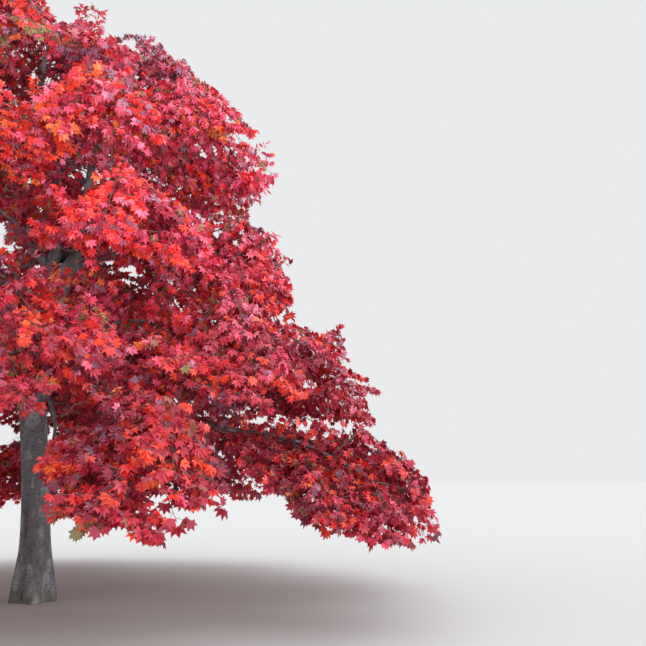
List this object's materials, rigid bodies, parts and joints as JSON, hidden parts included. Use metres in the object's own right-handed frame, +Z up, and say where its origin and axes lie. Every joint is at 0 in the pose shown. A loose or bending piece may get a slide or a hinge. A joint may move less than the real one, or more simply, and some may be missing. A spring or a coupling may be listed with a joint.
{
  "type": "japanese maple tree",
  "caption": "Broad old Japanese maple in red autumn leaf: one short leaning trunk, arching boughs and flat layered masses of foliage that hang nearly to the ground.",
  "frame": {"origin": "middle of the flat cut under the trunk, at ground level", "axes": "+Z up; the trunk leans towards -X and the crown reaches furthest towards -Y and +X"},
  "size_m": [9.3517, 9.6039, 7.7334],
  "materials": {
    "bark": "matte",
    "leaves": "satin"
  },
  "bodies": {
    "root": {"trunk": "bark", "main_bough_1": "bark", "main_bough_2": "bark", "main_bough_3": "bark", "main_bough_4": "bark", "main_bough_5": "bark", "main_bough_6": "bark", "main_bough_7": "bark", "leader_1": "bark", "leader_2": "bark", "leader_3": "bark", "low_bough_1": "bark", "low_bough_2": "bark", "low_bough_3": "bark", "low_bough_4": "bark", "low_bough_5": "bark", "low_bough_6": "bark", "low_bough_7": "bark", "low_bough_8": "bark", "middle_bough_1": "bark", "middle_bough_2": "bark", "middle_bough_3": "bark", "middle_bough_4": "bark", "middle_bough_5": "bark", "middle_bough_6": "bark", "upper_bough_1": "bark", "upper_bough_2": "bark", "upper_bough_3": "bark", "upper_bough_4": "bark", "upper_bough_5": "bark", "lower_foliage_1": "leaves", "lower_foliage_2": "leaves", "lower_foliage_3": "leaves", "lower_foliage_4": "leaves", "lower_foliage_5": "leaves", "lower_foliage_6": "leaves", "lower_foliage_7": "leaves", "crown_top_foliage_1": "leaves", "crown_top_foliage_2": "leaves", "crown_top_foliage_3": "leaves", "skirt_foliage_1": "leaves", "skirt_foliage_2": "leaves", "skirt_foliage_3": "leaves", "skirt_foliage_4": "leaves", "skirt_foliage_5": "leaves", "skirt_foliage_6": "leaves", "skirt_foliage_7": "leaves", "skirt_foliage_8": "leaves", "middle_foliage_1": "leaves", "middle_foliage_2": "leaves", "middle_foliage_3": "leaves", "middle_foliage_4": "leaves", "middle_foliage_5": "leaves", "middle_foliage_6": "leaves", "upper_foliage_1": "leaves", "upper_foliage_2": "leaves", "upper_foliage_3": "leaves", "upper_foliage_4": "leaves", "upper_foliage_5": "leaves"}
  },
  "joints": []
}
